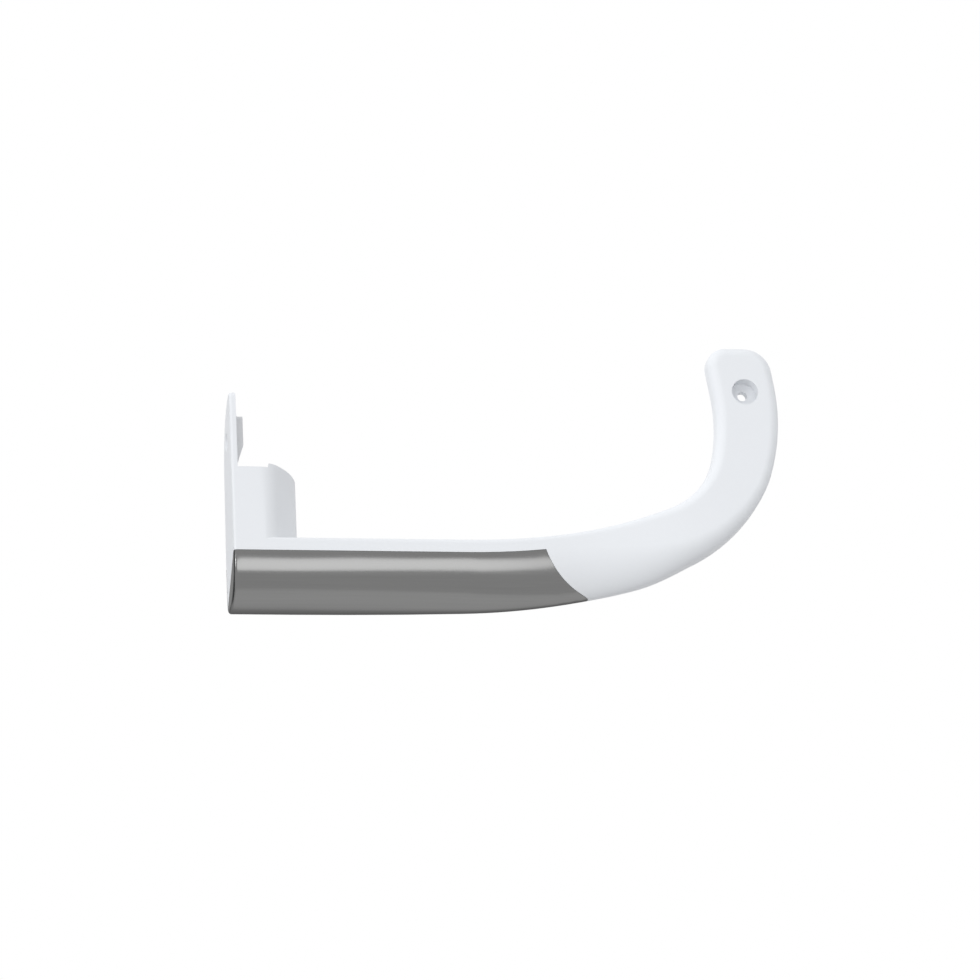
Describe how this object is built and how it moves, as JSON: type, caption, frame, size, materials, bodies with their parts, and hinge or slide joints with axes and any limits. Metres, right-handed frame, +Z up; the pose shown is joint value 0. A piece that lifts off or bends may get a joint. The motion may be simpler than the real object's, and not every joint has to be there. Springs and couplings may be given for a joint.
{
  "type": "refrigerator door handle",
  "caption": "J-shaped refrigerator door handle: white grip with a satin silver front cover, top plate with stand-off post and locating plug, and a curved side foot with a screw hole.",
  "frame": {"origin": "axis of the end plate's screw, on the plate's seating face, which lies on the door's top edge", "axes": "+X outward past the door's side face, +Y into the door from its front face, +Z up along the grip; the handle hangs below the plate as it does on the door"},
  "size_m": [0.04, 0.1229, 0.2566],
  "materials": {
    "white_plastic": "smooth white moulding with a soft gloss",
    "satin_silver": "satin silver, finely brushed along the grip",
    "grey_plastic": "matte light grey moulding"
  },
  "bodies": {
    "root": {"handle_body": "white_plastic", "grip_trim": "satin_silver", "locating_plug": "grey_plastic"}
  },
  "joints": []
}
